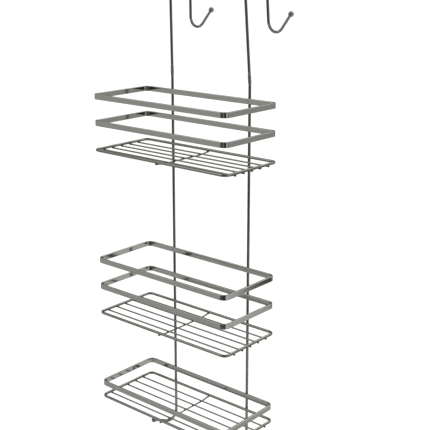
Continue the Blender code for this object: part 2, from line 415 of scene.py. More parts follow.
def chrome_finish(name, clean, tint_and_shade_colour, roughness, drop_size, patch_size, line_count, bump):
    material = bpy.data.materials.new(name)
    material.use_nodes = True
    tree = material.node_tree
    shader = tree.nodes["Principled BSDF"]
    shader.inputs["Metallic"].default_value = 1.0

    def group(made, **values):
        return put(tree, "ShaderNodeGroup", {key.replace("_", " "): v for key, v in values.items()},
                   node_tree=made).outputs[0]

    drops = group(drops_group, Drop_Size=drop_size, Coverage=DROP_COVERAGE)
    smudges = group(smudge_group, Patch_Size=patch_size, Threshold=SMUDGE_THRESHOLD)
    lines = group(drawn_group, Line_Count=line_count, Line_Length=LINE_LENGTH)
    heat = group(heat_group, Break_Up=TINT_BREAK_UP)
    edge = put(tree, "ShaderNodeAttribute", attribute_name="edge").outputs["Fac"]
    place = put(tree, "ShaderNodeTexCoord").outputs["Object"]
    ripple = put(tree, "ShaderNodeTexNoise",
                 {"Vector": place, "Scale": RIPPLE_SCALE, "Detail": 2.0}).outputs[0]

    # The rounded edges of the flat bar are painted darker here as shade, together with the weld tint.
    edge_shade_and_weld_tint = maths(tree, "MULTIPLY_ADD", edge, EDGE_PAINTED_SHADE, heat)
    shade = put(tree, "ShaderNodeMix", {0: edge_shade_and_weld_tint, 6: (*clean, 1.0), 7: (*tint_and_shade_colour, 1.0)},
                data_type="RGBA", clamp_factor=True).outputs[2]
    spotted = maths(tree, "MULTIPLY", drops, LIME_SHOWING)
    shade = put(tree, "ShaderNodeMix", {0: spotted, 6: shade, 7: LIME}, data_type="RGBA").outputs[2]
    tree.links.new(shade, shader.inputs["Base Color"])

    rough = maths(tree, "MULTIPLY_ADD", smudges, SMUDGE_ROUGHNESS, roughness)
    rough = maths(tree, "MULTIPLY_ADD", drops, LIME_ROUGHNESS, rough)
    rough = maths(tree, "MULTIPLY_ADD", heat, WELD_ROUGHNESS, rough)
    tree.links.new(rough, shader.inputs["Roughness"])

    height = maths(tree, "MULTIPLY_ADD", lines, LINE_SHARE, ripple)
    relief = put(tree, "ShaderNodeBump", {"Height": height, "Strength": bump, "Distance": RELIEF_DEPTH})
    tree.links.new(relief.outputs[0], shader.inputs["Normal"])
    return material


# %% [markdown]
# Now the numbers for each stock: the clean colour, the colour of the weld tint and of the painted edge shade,
# the roughness, the size of the dried drops, the size of the smudges, how many drawing lines cross the
# section, and the strength of the relief. The clean colour of the wire and of the balls is set darker than
# that of bar and sleeve: this is painted shade on the same chrome.

# %% The finishes: flat bar, thick wire, thin wire, balls, sleeves and weld metal
# Thick wire, thin wire and the balls get a darker clean colour than bar and sleeve: painted shade on the same
# chrome.
FINISHES = {
    "flat_bar_chrome": ((0.608, 0.607, 0.568), (0.48, 0.475, 0.44), 0.008, 0.0040, 0.022, 14.0, 0.004),
    "rod_chrome": ((0.360, 0.354, 0.322), (0.23, 0.22, 0.19), 0.060, 0.0030, 0.018, 30.0, 0.030),
    "shelf_wire_chrome": ((0.390, 0.385, 0.355), (0.18, 0.17, 0.15), 0.070, 0.0022, 0.015, 30.0, 0.030),
    "ball_tip_chrome": ((0.440, 0.436, 0.410), (0.30, 0.29, 0.27), 0.040, 0.0026, 0.008, 10.0, 0.020),
    "joint_sleeve_chrome": ((0.600, 0.595, 0.580), (0.30, 0.29, 0.27), 0.090, 0.0024, 0.008, 10.0, 0.040),
}
finishes = {slot: chrome_finish(slot + "_finish", *numbers) for slot, numbers in FINISHES.items()}
weld_metal = chrome_finish("weld_metal_finish", (0.38, 0.37, 0.35), (0.20, 0.19, 0.17),
                           0.20, 0.0020, 0.004, 10.0, 0.35)
print("finishes:", sorted(finishes))

# %% [markdown]
# ## Paths
#
# Every wire and bar is one section swept along one path. The path is drawn as a mesh that has only edges,
# because a mesh can carry numbers on its points. Here that number is swell: 1 is the full section, less is
# a cut end or a thin stud, and a little more is the flash of a butt weld. Straight runs get a point
# every two millimetres, so that the weld tint and the smooth shading have something to hold on to.

# %% Draw a path
PATH_STEP = 0.002


def dense(points, closed=False):
    """The points with more of them on the long runs, as (place, swell) pairs."""
    points = [(Vector(place), swell) for place, swell in points]
    pairs = list(zip(points, points[1:] + points[:1])) if closed else list(zip(points, points[1:]))
    out = []
    for (start, swell), (end, next_swell) in pairs:
        steps = max(1, math.ceil((end - start).length / PATH_STEP))
        out += [(start.lerp(end, i / steps), swell + (next_swell - swell) * i / steps) for i in range(steps)]
    return out if closed else out + [points[-1]]


def path_object(name, points, closed=False):
    mesh = bpy.data.meshes.new(name)
    count = len(points)
    edges = [(i, (i + 1) % count) for i in range(count if closed else count - 1)]
    mesh.from_pydata([place for place, _ in points], edges, [])
    swell = mesh.attributes.new("swell", "FLOAT", "POINT")
    swell.data.foreach_set("value", [s for _, s in points])
    path = bpy.data.objects.new(name, mesh)
    bpy.context.scene.collection.objects.link(path)
    return path


def arc(centre, radius, start, end, steps=16):
    """Points (y, z) of an arc from the angle start to the angle end, both included."""
    angles = [start + (end - start) * i / steps for i in range(steps + 1)]
    return [(centre[0] + radius * math.cos(a), centre[1] + radius * math.sin(a)) for a in angles]


# %% [markdown]
# Rails and rims are closed loops. A bender starts such a loop in the middle of the back and welds the two
# ends together there, which leaves a low ridge of flash. The loop starts and ends at that weld here too.

# %% The closed loop of a rail or a rim
FLASH_WIDTH = 1.2 * MILLIMETRE
FLASH_SLOPE = 0.7


def ring_path(centre, width, depth, radius, flash):
    """Points of a rounded rectangle in plan, with the flash of the butt weld at the start."""
    outline = [(-2 * FLASH_WIDTH, depth / 2)]
    for quarter, (sx, sy) in enumerate(((-1, 1), (-1, -1), (1, -1), (1, 1))):
        corner = (sx * (width / 2 - radius), sy * (depth / 2 - radius))
        start = math.pi / 2 * (quarter + 1)
        outline += arc(corner, radius, start, start + math.pi / 2)
    outline.append((2 * FLASH_WIDTH, depth / 2))
    points = [((centre.x + x, centre.y + y, centre.z), 1.0) for x, y in outline]
    flash_point = Vector((centre.x, centre.y + depth / 2, centre.z))
    beside = Vector((FLASH_WIDTH / 2, 0, 0))
    points += [(flash_point + beside, 1 + FLASH_SLOPE * flash), (flash_point, 1 + flash),
               (flash_point - beside, 1 + FLASH_SLOPE * flash)]
    return dense(points, closed=True)


# %% [markdown]
# ## Sweeping wire and bar with Geometry Nodes
#
# A curve with a bevel would sweep a wire too. Geometry Nodes are used because the tree can also store what
# the finish needs, on every point it makes: how far along the wire it lies, where on the section it sits,
# and how near the closest weld is. The same tree then serves the rods, the rims and the hook arms.

# %% Tree part: store how near the nearest weld is, as weld_heat
heat_tree, given, result = new_group(
    "paint_weld_heat", "GeometryNodeTree",
    [("Geometry", "Geometry", None), ("Welds", "Object", None), ("Core", "Float", 0.002),
     ("Reach", "Float", 0.006)], [("Geometry", "Geometry")])
welds = put(heat_tree, "GeometryNodeObjectInfo", {"Object": given.outputs["Welds"]})
nearest = put(heat_tree, "GeometryNodeProximity", {"Geometry": welds.outputs["Geometry"]},
              target_element="POINTS")
warm = ramp_between(heat_tree, nearest.outputs["Distance"], given.outputs["Core"],
                    given.outputs["Reach"], 1.0, 0.0)
stored = put(heat_tree, "GeometryNodeStoreNamedAttribute",
             {"Geometry": given.outputs["Geometry"], "Name": "weld_heat", "Value": warm},
             data_type="FLOAT", domain="POINT")
heat_tree.links.new(stored.outputs[0], result.inputs[0])
print("weld heat tree:", len(heat_tree.nodes), "nodes")


# %% [markdown]
# Three more steps are shared by the sweeps: storing the length along the path, sweeping a section that
# swells and shrinks with the path, and finishing. Realize Instances comes near the end because copies that
# are only instances would be lost when the model is exported.

# %% Tree parts: length along the path, sweep and finish
def store_along(tree, curve):
    length = put(tree, "GeometryNodeSplineParameter").outputs["Length"]
    return put(tree, "GeometryNodeStoreNamedAttribute",
               {"Geometry": curve, "Name": "along", "Value": length},
               data_type="FLOAT", domain="POINT").outputs[0]


def swept(tree, curve, section):
    """Sweeps the section along the curve, scaled by the swell of the path."""
    swell = put(tree, "GeometryNodeInputNamedAttribute", {"Name": "swell"}, data_type="FLOAT").outputs[0]
    mesh = put(tree, "GeometryNodeCurveToMesh",
               {"Curve": curve, "Profile Curve": section, "Scale": swell, "Fill Caps": True}).outputs[0]
    return put(tree, "GeometryNodeSetShadeSmooth", {"Geometry": mesh}).outputs[0]


def finished(tree, geometry, given, result):
    """Weld heat, real geometry instead of instances, and the material: the end of every sweep tree."""
    real = put(tree, "GeometryNodeRealizeInstances", {"Geometry": geometry}).outputs[0]
    heated = put(tree, "GeometryNodeGroup", {0: real, "Welds": given.outputs["Welds"],
                                             "Core": given.outputs["Weld Core"],
                                             "Reach": given.outputs["Weld Reach"]},
                 node_tree=heat_tree).outputs[0]
    done = put(tree, "GeometryNodeSetMaterial",
               {"Geometry": heated, "Material": given.outputs["Material"]}).outputs[0]
    tree.links.new(done, result.inputs[0])


# %% [markdown]
# Round wire needs a round section. Each point of the circle stores where on the section it is, so that the
# drawing lines know which way round the wire they are.

# %% Tree part: the section of a round wire
COMMON_INPUTS = [("Welds", "Object", None), ("Weld Core", "Float", 0.002), ("Weld Reach", "Float", 0.006),
                 ("Material", "Material", None)]


def round_section(tree, given):
    """A circle whose points remember where on the section they are."""
    circle = put(tree, "GeometryNodeCurvePrimitiveCircle",
                 {"Resolution": given.outputs["Sides"], "Radius": given.outputs["Wire Radius"]}).outputs[0]
    spot = put(tree, "GeometryNodeInputPosition").outputs[0]
    unit = put(tree, "ShaderNodeVectorMath", {0: spot}, operation="NORMALIZE").outputs[0]
    return put(tree, "GeometryNodeStoreNamedAttribute",
               {"Geometry": circle, "Name": "section", "Value": unit},
               data_type="FLOAT_VECTOR", domain="POINT").outputs[0]


# %% [markdown]
# The simplest tree comes first: the path becomes a curve, the round section is swept along it, and the
# shared steps finish it. Rods, rims, cross wires and arms all use it, each with its own radius.

# %% Tree: one round wire along its path
wire_tree, given, result = new_group(
    "round_wire", "GeometryNodeTree",
    [("Path", "Geometry", None), ("Wire Radius", "Float", ROD_RADIUS), ("Sides", "Int", 20), *COMMON_INPUTS],
    [("Geometry", "Geometry")])
curve = put(wire_tree, "GeometryNodeMeshToCurve", {"Mesh": given.outputs["Path"]}).outputs[0]
body = swept(wire_tree, store_along(wire_tree, curve), round_section(wire_tree, given))
finished(wire_tree, body, given, result)
print("round wire tree:", len(wire_tree.nodes), "nodes")

# %% [markdown]
# A flat bar turns with its path but must stay upright, so its curve normals are set to Z up. Its section is
# not a circle, and is handed in as an object.

# %% Tree: a flat bar on edge, with a section drawn as its own object
bar_tree, given, result = new_group(
    "flat_bar", "GeometryNodeTree",
    [("Path", "Geometry", None), ("Section", "Object", None), *COMMON_INPUTS], [("Geometry", "Geometry")])
curve = put(bar_tree, "GeometryNodeMeshToCurve", {"Mesh": given.outputs["Path"]}).outputs[0]
upright_curve = put(bar_tree, "GeometryNodeSetCurveNormal", {"Curve": curve}, mode="Z_UP").outputs[0]
section = put(bar_tree, "GeometryNodeObjectInfo", {"Object": given.outputs["Section"]}).outputs["Geometry"]
section_curve = put(bar_tree, "GeometryNodeMeshToCurve", {"Mesh": section}).outputs[0]
finished(bar_tree, swept(bar_tree, store_along(bar_tree, upright_curve), section_curve), given, result)
print("flat bar tree:", len(bar_tree.nodes), "nodes")

# %% [markdown]
# Five wires a shelf are one wire five times. A Mesh Line makes a point for each, and Instance on Points
# sets the wire there, so that number and spacing are two inputs of the tree.

# %% Tree: a row of equal wires, one path repeated on a line of points
row_tree, given, result = new_group(
    "wire_row", "GeometryNodeTree",
    [("Path", "Geometry", None), ("Wire Radius", "Float", SHELF_WIRE_RADIUS), ("Sides", "Int", 14),
     ("Count", "Int", 5), ("Spacing", "Float", 0.018), *COMMON_INPUTS], [("Geometry", "Geometry")])
curve = put(row_tree, "GeometryNodeMeshToCurve", {"Mesh": given.outputs["Path"]}).outputs[0]
one_wire = swept(row_tree, store_along(row_tree, curve), round_section(row_tree, given))
step = put(row_tree, "ShaderNodeCombineXYZ", {1: given.outputs["Spacing"]}).outputs[0]
row = put(row_tree, "GeometryNodeMeshLine", {"Count": given.outputs["Count"], "Offset": step}).outputs[0]
copies = put(row_tree, "GeometryNodeInstanceOnPoints", {"Points": row, "Instance": one_wire}).outputs[0]
finished(row_tree, copies, given, result)
print("wire row tree:", len(row_tree.nodes), "nodes")

# %% [markdown]
# A tree works as a modifier on the path. The evaluated object is what the modifier makes of it, and
# new_from_object keeps that as a plain mesh, so nothing depends on the tree any more.

# %% Run a tree on a path and keep the result as a plain mesh
def made_by(tree, path, values):
    """Runs the tree as a modifier, whose inputs are set by their identifiers, and returns its mesh."""
    modifier = path.modifiers.new(tree.name, "NODES")
    modifier.node_group = tree
    for item in tree.interface.items_tree:
        if item.in_out == "INPUT" and item.name in values:
            modifier[item.identifier] = values[item.name]
    graph = bpy.context.evaluated_depsgraph_get()
    mesh = bpy.data.meshes.new_from_object(path.evaluated_get(graph), preserve_all_data_layers=True,
                                           depsgraph=graph)
    path.modifiers.remove(modifier)
    bpy.data.objects.remove(path)
    return mesh


# %% [markdown]
# Every finished piece goes through the same door. Its faces are turned outwards, it is set to move with its
# body, the imported nodes it stands for are hidden, and its box is compared with theirs.

# %% Turn a mesh outwards and add it as a piece
def outward(mesh):
    """Turns every face outwards. A sweep comes out inside out when its path runs the other way."""
    shape = bmesh.new()
    shape.from_mesh(mesh)
    bmesh.ops.recalc_face_normals(shape, faces=shape.faces)
    shape.to_mesh(mesh)
    shape.free()
    return mesh


def add_piece(name, mesh, body, replaced):
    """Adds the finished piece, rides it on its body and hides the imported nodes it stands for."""
    mesh.name = name
    piece = bpy.data.objects.new(name, outward(mesh))
    bpy.context.scene.collection.objects.link(piece)
    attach(piece, body)
    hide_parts(*replaced)
    low = [min(v.co[k] for v in mesh.vertices) for k in range(3)]
    high = [max(v.co[k] for v in mesh.vertices) for k in range(3)]
    boxes = [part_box(node) for node in replaced]
    off = max([max(abs(low[k] - min(b[0][k] for b in boxes)), abs(high[k] - max(b[1][k] for b in boxes)))
               for k in range(3)] if boxes else [0.0])
    print(f"{name}: {len(mesh.polygons)} faces, its box is within {1000 * off:.2f} mm of the packed one")
    return piece


# %% [markdown]
# ## Where the welds are
#
# The baskets are held together by resistance welds: two wires are pressed together hot, so they sink into
# each other a little and a small bead is pushed out round the contact. The weld places are worked
# out first, because the wires near them get their dull tint from them.

# %% Heights of the shelf wires, which are pressed into the rim and into each other
SET_DOWN = 0.0004
LONG_WIRE_DROP = ROD_RADIUS + SHELF_WIRE_RADIUS - SET_DOWN
CROSS_WIRE_DROP = LONG_WIRE_DROP + 2 * SHELF_WIRE_RADIUS - SET_DOWN
CROSS_END_DROP = ROD_RADIUS + SHELF_WIRE_RADIUS - SET_DOWN / 2
LONG_WIRES = 5


def basket_sizes(tier):
    """Centre of the shelf rim, half width and half depth of its centre line, and the long wires' y."""
    rim = f"{tier}_shelf_rim"
    half = size_of(rim) / 2
    rows = [centre_of(f"{tier}_shelf_wire_{i + 1}").y for i in range(LONG_WIRES)]
    return centre_of(rim), half.x - ROD_RADIUS, half.y - ROD_RADIUS, rows


# %% [markdown]
# Each weld is a place and the half sizes of its bead, in millimetres. A shelf has one at both ends of each
# long wire, one at each crossing and one where the cross wire meets the rim. The rods have one at each rail
# and rim, and a tall one where the weld runs along the height of the flat bar.

# %% List the welds of each tier
def shelf_welds(tier):
    rim, half_width, half_depth, rows = basket_sizes(tier)
    under_rim = rim.z - ROD_RADIUS + SET_DOWN / 2
    under_long = rim.z - LONG_WIRE_DROP - SHELF_WIRE_RADIUS + SET_DOWN / 2
    ends = [(Vector((side * half_width, y, under_rim)), Vector((1.5, 1.35, 0.75)))
            for y in rows for side in (-1, 1)]
    crossings = [(Vector((0, y, under_long)), Vector((1.15, 1.15, 0.6))) for y in rows]
    rests = [(Vector((0, rim.y + side * half_depth, under_rim)), Vector((1.3, 1.4, 0.7))) for side in (-1, 1)]
    return ends + crossings + rests


def rod_welds(tier):
    rim, _, half_depth, _ = basket_sizes(tier)
    back = rim.y + half_depth + ROD_RADIUS
    found = []
    for side in SIDES:
        x = centre_of(side + "_upright_ball_tip").x
        found.append((Vector((x, back, rim.z)), Vector((1.6, 0.8, 1.6))))
        found += [(Vector((x, back, centre_of(rail).z)), Vector((1.75, 0.8, 3.6))) for rail in TIERS[tier]]
    return found


tier_welds = {tier: shelf_welds(tier) + rod_welds(tier) for tier in TIERS}
print("welds:", {tier: len(found) for tier, found in tier_welds.items()})


# %% [markdown]
# A tree can measure the distance to another object's points, so the welds become small point clouds. They
# are removed again once the pieces are made.

# %% Point clouds that the trees measure their distance to
def weld_points(name, found):
    mesh = bpy.data.meshes.new(name)
    mesh.from_pydata([place for place, _ in found], [], [])
    sizes = mesh.attributes.new("bead_size", "FLOAT_VECTOR", "POINT")
    sizes.data.foreach_set("vector", [MILLIMETRE * c for _, size in found for c in size])
    points = bpy.data.objects.new(name, mesh)
    bpy.context.scene.collection.objects.link(points)
    return points


heat_points = {tier: weld_points(tier + "_heat_points", found) for tier, found in tier_welds.items()}
all_heat_points = weld_points("all_heat_points", [weld for found in tier_welds.values() for weld in found])
print("points to measure to:", len(all_heat_points.data.vertices))

# %% [markdown]
# ## Flat rails
#
# A rail is a flat bar bent on edge into a rectangle and butt welded at the back. Its edges are rolled
# round, which is what catches the light along the top and bottom. The section is drawn once, with short
# flats beside each rounded edge so that smooth shading keeps the wide faces truly flat.

# %% Draw the section of the flat bar
BAR_EDGE_RADIUS = 0.0007
EDGE_STEPS = 5
FLAT_MARGIN = 0.0003


def bar_section():
    """A rounded rectangle of edges, thickness along X and height along Y, with a mask of its rounded edges for
    painted shade.
    """
    half_x, half_y = BAR_THICKNESS / 2, BAR_HEIGHT / 2
    points, painted_edge_shade = [], []
    for quarter, (sx, sy) in enumerate(((1, 1), (-1, 1), (-1, -1), (1, -1))):
        centre = (sx * (half_x - BAR_EDGE_RADIUS), sy * (half_y - BAR_EDGE_RADIUS))
        start = quarter * math.pi / 2
        turn = arc(centre, BAR_EDGE_RADIUS, start, start + math.pi / 2, EDGE_STEPS)
        before = (-math.sin(start), math.cos(start))
        after = (-math.sin(start + math.pi / 2), math.cos(start + math.pi / 2))
        first = (turn[0][0] - before[0] * FLAT_MARGIN, turn[0][1] - before[1] * FLAT_MARGIN)
        last = (turn[-1][0] + after[0] * FLAT_MARGIN, turn[-1][1] + after[1] * FLAT_MARGIN)
        points += [first, *turn, last]
        # The points of the rounded edges get 1 in this mask, and the finish paints them darker as shade.
        painted_edge_shade += [0.0] + [1.0] * len(turn) + [0.0]
    mesh = bpy.data.meshes.new("bar_section")
    count = len(points)
    mesh.from_pydata([(x, y, 0.0) for x, y in points], [(i, (i + 1) % count) for i in range(count)], [])
    mesh.attributes.new("edge", "FLOAT", "POINT").data.foreach_set("value", painted_edge_shade)
    where = mesh.attributes.new("section", "FLOAT_VECTOR", "POINT")
    where.data.foreach_set("vector", [c for x, y in points for c in (x / half_y, y / half_y, 0.0)])
    section = bpy.data.objects.new("bar_section", mesh)
    bpy.context.scene.collection.objects.link(section)
    return section


# %% [markdown]
# The outer size of each ring comes from its packed box. The path runs down the middle of the bar, half a
# thickness further in.

# %% Sweep the five rails
bar = bar_section()
for tier, rails in TIERS.items():
    for rail in rails:
        size = size_of(rail)
        loop = ring_path(centre_of(rail), size.x - BAR_THICKNESS, size.y - BAR_THICKNESS,
                         BAR_CORNER_RADIUS - BAR_THICKNESS / 2, flash=0.02)
        mesh = made_by(bar_tree, path_object(rail + "_path", loop, closed=True),
                       {"Section": bar, "Welds": heat_points[tier], "Weld Core": 0.0016, "Weld Reach": 0.006,
                        "Material": finishes["flat_bar_chrome"]})
        add_piece(rail.replace("rail", "flat_bar"), mesh, "frame", [rail])
bpy.data.objects.remove(bar)

# %% [markdown]
# ## Shelf rims
#
# A rim is the same idea in round wire, bent a little tighter at the corners and butt welded at the back.

# %% Sweep the three rims
for tier in TIERS:
    node = f"{tier}_shelf_rim"
    rim, half_width, half_depth, _ = basket_sizes(tier)
    loop = ring_path(rim, 2 * half_width, 2 * half_depth, RIM_CORNER_RADIUS, flash=0.05)
    mesh = made_by(wire_tree, path_object(node + "_path", loop, closed=True),
                   {"Wire Radius": ROD_RADIUS, "Sides": 20, "Welds": heat_points[tier], "Weld Core": 0.0018,
                    "Weld Reach": 0.0036, "Material": finishes["rod_chrome"]})
    add_piece(f"{tier}_rim_wire", mesh, "frame", [node])

# %% [markdown]
# ## Shelf wires
#
# Five equal wires in a row are a repeat, so one wire is swept and set on a line of points. The cut ends
# are slightly smaller than the wire, as a shear leaves them. The cross wire lies under the row, and its
# ends spring up to the rim, where they are welded too.

# %% Sweep the rows of long wires
CUT_END = 0.0003
CUT_SWELL = 0.72


def cut_wire(points):
    """The points of a wire with its swell, which drops at both sheared ends."""
    places = [Vector(p) for p in points]
    first, last = places[0], places[-1]
    inner_first = first + (places[1] - first).normalized() * CUT_END
    inner_last = last + (places[-2] - last).normalized() * CUT_END
    return dense([(first, CUT_SWELL), (inner_first, 1.0)] + [(p, 1.0) for p in places[1:-1]]
                 + [(inner_last, 1.0), (last, CUT_SWELL)])


for tier in TIERS:
    rim, half_width, half_depth, rows = basket_sizes(tier)
    nodes = [f"{tier}_shelf_wire_{i + 1}" for i in range(LONG_WIRES)]
    reach = size_of(nodes[0]).x / 2
    height = rim.z - LONG_WIRE_DROP
    path = path_object(tier + "_long_path", cut_wire([(-reach, rows[0], height), (reach, rows[0], height)]))
    mesh = made_by(row_tree, path,
                   {"Wire Radius": SHELF_WIRE_RADIUS, "Sides": 14, "Count": LONG_WIRES,
                    "Spacing": rows[1] - rows[0], "Welds": heat_points[tier], "Weld Core": 0.0014,
                    "Weld Reach": 0.0034, "Material": finishes["shelf_wire_chrome"]})
    add_piece(f"{tier}_long_wires", mesh, "frame", nodes)

# %% [markdown]
# The cross wire passes under all five and bows up at both ends to reach the rim. A squared sine is level
# where the bow starts, so there is no kink.

# %% Sweep the cross wires
for tier in TIERS:
    rim, half_width, half_depth, rows = basket_sizes(tier)
    reach = size_of(f"{tier}_cross_wire").y / 2
    low, high = rim.z - CROSS_WIRE_DROP, rim.z - CROSS_END_DROP
    outer = rows[-1] - rim.y
    bow = [(outer + (reach - outer) * i / 6, low + (high - low) * math.sin(math.pi / 2 * i / 6) ** 2)
           for i in range(7)]
    line = [(0, rim.y - y, z) for y, z in reversed(bow)] + [(0, rim.y + y, z) for y, z in bow]
    mesh = made_by(wire_tree, path_object(tier + "_cross_path", cut_wire(line)),
                   {"Wire Radius": SHELF_WIRE_RADIUS, "Sides": 14, "Welds": heat_points[tier],
                    "Weld Core": 0.0018, "Weld Reach": 0.0040, "Material": finishes["shelf_wire_chrome"]})
    add_piece(f"{tier}_cross_brace", mesh, "frame", [f"{tier}_cross_wire"])

# %% [markdown]
# ## Uprights
#
# Each upright is one rod: a thin stud at the top that screws into the sleeve, a long straight run behind
# the baskets, and a hook at the foot that points forward and ends inside its ball.

# %% Sizes of the foot hook and the stud
FOOT_HOOK_RADIUS = 0.0155
FOOT_HOOK_ANGLE = math.radians(25)
STUD_RADIUS = 0.0015
STUD_SWELL = STUD_RADIUS / ROD_RADIUS
SHOULDER = 0.0002
SHOULDER_SWELL = 0.93
BARE_IN_BALL = 0.2
print("stud", 2000 * STUD_RADIUS, "mm, or", round(STUD_SWELL, 2), "of the rod")

# %% [markdown]
# The stud at the top and everything beyond it follow the joint, which leans in and forward a little. Its
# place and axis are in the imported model, and the door side is where the arm's ball is.

# %% The axes of a screwed joint
def arm_frame(side):
    """The screwed joint's own axes: Z up the arm, Y towards the door, from the joint and the ball."""
    joint = next(j for j in frame["joints"] if j["name"] == side + "_arm_swivel")
    foot, up = Vector(joint["pos_m"]), Vector(joint["axis"]).normalized()
    up = up if up.z > 0 else -up
    to_ball = centre_of(side + "_hook_arm_ball_tip") - foot
    door = (to_ball - up * to_ball.dot(up)).normalized()
    across = door.cross(up)
    matrix = Matrix((across, door, up)).transposed().to_4x4()
    matrix.translation = foot
    return matrix


# %% [markdown]
# With the joint's axes known, one path runs from the stud down the back and round the foot hook. The hook
# stops just inside the ball, so that no rod end shows.

# %% Sweep the uprights
for side in SIDES:
    node = side + "_upright"
    low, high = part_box(node)
    ball = centre_of(node + "_ball_tip")
    joint = arm_frame(side)
    back, bottom = high.y - ROD_RADIUS, low.z + ROD_RADIUS
    stud = size_of(side + "_joint_sleeve").z / 2 - CUT_END
    top = [(joint @ Vector((0, 0, stud)), STUD_SWELL), (joint @ Vector((0, 0, 0)), STUD_SWELL),
           (joint @ Vector((0, 0, -SHOULDER)), SHOULDER_SWELL), (joint @ Vector((0, 0, -2 * SHOULDER)), 1.0)]
    hook = arc((back - FOOT_HOOK_RADIUS, bottom + FOOT_HOOK_RADIUS), FOOT_HOOK_RADIUS,
               0.0, -math.pi / 2 - FOOT_HOOK_ANGLE, 32)
    line = top + [((ball.x, y, z), 1.0) for y, z in hook]
    end = Vector((ball.x, *hook[-1]))
    line.append((end + (ball - end) * (1 - BARE_IN_BALL * BALL_RADIUS / (ball - end).length), 1.0))
    mesh = made_by(wire_tree, path_object(node + "_path", dense(line)),
                   {"Wire Radius": ROD_RADIUS, "Sides": 24, "Welds": all_heat_points, "Weld Core": 0.0024,
                    "Weld Reach": 0.0050, "Material": finishes["rod_chrome"]})
    add_piece(side + "_back_rod", mesh, "frame", [node])

# %% [markdown]
# ## Hook arms
#
# An arm is drawn in its own upright plane and then set into the joint's frame, so both arms share one
# drawing and each leans and turns as its joint says.

# %% Draw an arm in its own plane
ARM_RISE = 0.1765
ARM_GAP = 0.0468
ARM_BEND_RADIUS = 0.012
TOWEL_HOOK_HEIGHT = 0.0664
TOWEL_HOOK_RADIUS = 0.0185
TOWEL_HOOK_ANGLE = math.radians(40)
SLEEVE_LENGTH = 0.014
ARM_CLEARANCE = 0.0003


def arm_line(ball):
    """The arm in its own plane, from the stud in the sleeve to the middle of its ball."""
    stud = [((0, SLEEVE_LENGTH / 2 + ARM_CLEARANCE), STUD_SWELL),
            ((0, SLEEVE_LENGTH + ARM_CLEARANCE), STUD_SWELL),
            ((0, SLEEVE_LENGTH + ARM_CLEARANCE + SHOULDER), SHOULDER_SWELL),
            ((0, SLEEVE_LENGTH + ARM_CLEARANCE + 2 * SHOULDER), 1.0)]
    bend_height = ARM_RISE - ARM_BEND_RADIUS
    over = arc((ARM_BEND_RADIUS, bend_height), ARM_BEND_RADIUS, math.pi, math.pi / 2)
    down = arc((ARM_GAP - ARM_BEND_RADIUS, bend_height), ARM_BEND_RADIUS, math.pi / 2, 0.0)
    hook = arc((ARM_GAP + TOWEL_HOOK_RADIUS, TOWEL_HOOK_HEIGHT + TOWEL_HOOK_RADIUS), TOWEL_HOOK_RADIUS,
               math.pi, 1.5 * math.pi + TOWEL_HOOK_ANGLE, 32)
    end, target = Vector(hook[-1]), Vector((ball.y, ball.z))
    tip = end + (target - end) * (1 - BARE_IN_BALL * BALL_RADIUS / (target - end).length)
    return stud + [(tuple(p), 1.0) for p in over + down + hook + [tip]]


# %% [markdown]
# Each arm moves with its own body. The path is drawn where the arm rests.

# %% Sweep the hook arms
for side in SIDES:
    node = side + "_hook_arm"
    joint = arm_frame(side)
    ball = joint.inverted() @ centre_of(node + "_ball_tip")
    line = [(joint @ Vector((0, y, z)), swell) for (y, z), swell in arm_line(ball)]
    mesh = made_by(wire_tree, path_object(node + "_path", dense(line)),
                   {"Wire Radius": ROD_RADIUS, "Sides": 24, "Welds": all_heat_points, "Weld Core": 0.0024,
                    "Weld Reach": 0.0050, "Material": finishes["rod_chrome"]})
    add_piece(side + "_arm_rod", mesh, side + "_arm", [node])

# %% [markdown]
# ## Turned pieces
#
# The balls and the joint sleeves come off a lathe, so each is half a profile spun round an axis. Spin in
# bmesh does that. The seam is merged afterwards and the faces are turned outwards.

# %% A lathe
TURN_STEPS = 40
MERGE_DISTANCE = 1e-6
SHARP_ANGLE = math.radians(35)


def lathe(profile, place, finish):
    """Spins a profile of (radius, height) round Z and sets it in place."""
    shape = bmesh.new()
    verts = [shape.verts.new((r, 0.0, z)) for r, z in profile]
    edges = [shape.edges.new(pair) for pair in zip(verts, verts[1:])]
    bmesh.ops.spin(shape, geom=verts + edges, cent=(0, 0, 0), axis=(0, 0, 1), angle=2 * math.pi,
                   steps=TURN_STEPS, use_merge=True, use_duplicate=False)
    bmesh.ops.remove_doubles(shape, verts=shape.verts, dist=MERGE_DISTANCE)
    for face in shape.faces:
        face.smooth = True
    bmesh.ops.transform(shape, matrix=place, verts=shape.verts)
    mesh = bpy.data.meshes.new("turned")
    shape.to_mesh(mesh)
    shape.free()
    mesh.set_sharp_from_angle(angle=SHARP_ANGLE)
    mesh.materials.append(finish)
    return mesh


def axes_at(place, direction):
    """A frame at place whose Z points along direction."""
    matrix = Vector(direction).to_track_quat("Z", "Y").to_matrix().to_4x4()
    matrix.translation = place
    return matrix


# %% [markdown]
# A ball tip is drilled for the rod and has a small collar where it goes in. The profile starts at the top
# of the ball, runs down its outside, round the collar and back up into the socket.

# %% Turn the four ball tips
NECK_RISE = 0.0007
SOCKET_GAP = 0.00005
COLLAR_WALL = 0.0005
COLLAR_FILLET = 0.0003
MOUTH_BEVEL = 0.0002
EDGE_BREAK = 0.0001


